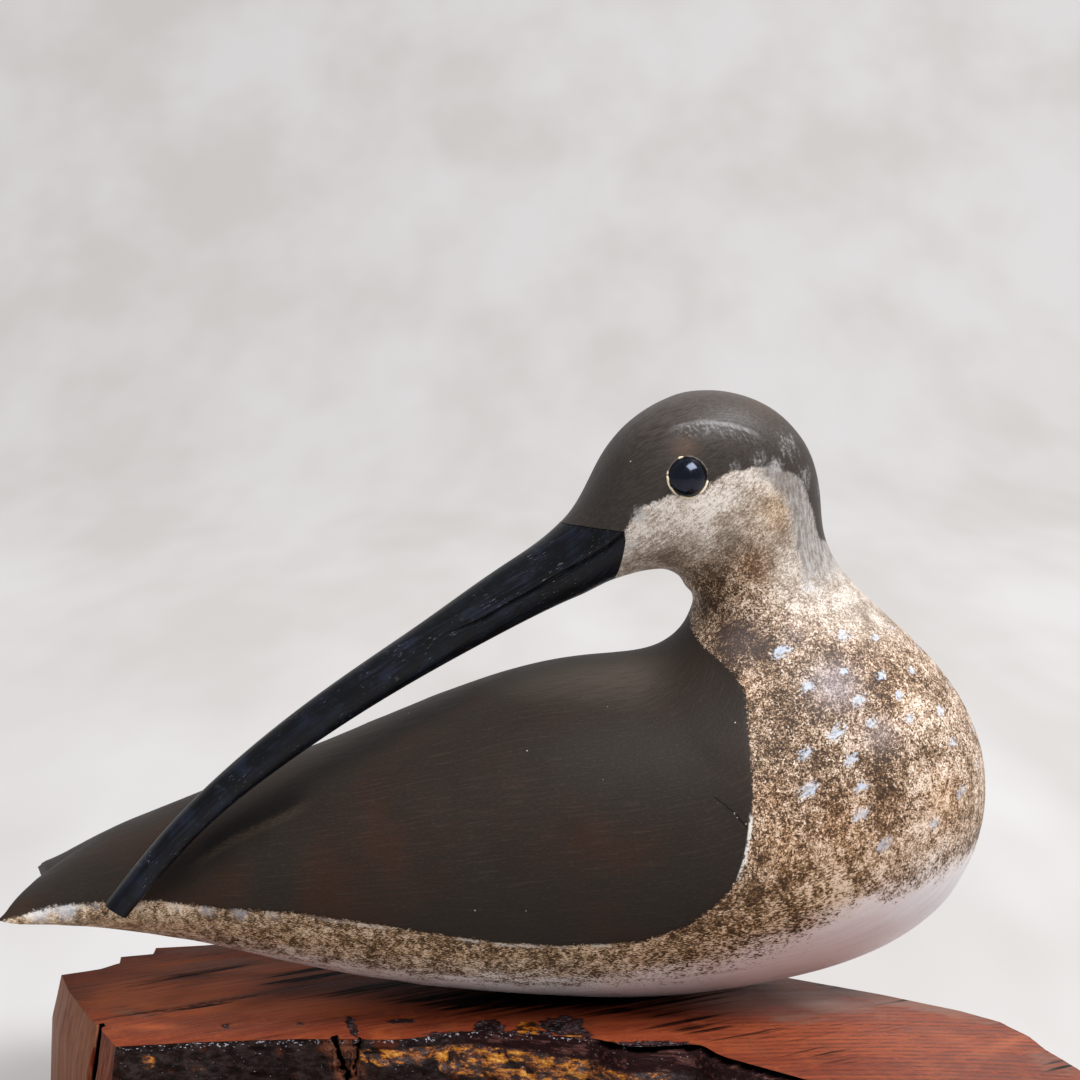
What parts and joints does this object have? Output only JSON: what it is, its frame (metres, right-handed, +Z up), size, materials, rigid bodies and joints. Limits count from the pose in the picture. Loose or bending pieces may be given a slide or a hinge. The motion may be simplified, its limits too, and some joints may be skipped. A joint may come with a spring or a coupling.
{
  "type": "shorebird decoy",
  "caption": "Carved and painted resting shorebird with its head and long curved bill turned back along its body, on a live-edge wooden slab.",
  "frame": {"origin": "on the surface that the slab stands on, under the middle of the decoy's box", "axes": "+X from the tail to the breast, -Y the side that the bill passes, +Z up"},
  "size_m": [0.257, 0.1408, 0.18],
  "materials": {
    "painted_wood": "satin",
    "bill_black": "satin",
    "eye_glass": "gloss",
    "slab_wood": "satin varnish"
  },
  "bodies": {
    "root": {"bird_carving": "painted_wood", "bill": "bill_black", "eye_near": "eye_glass", "eye_far": "eye_glass", "stand_slab": "slab_wood"}
  },
  "joints": []
}
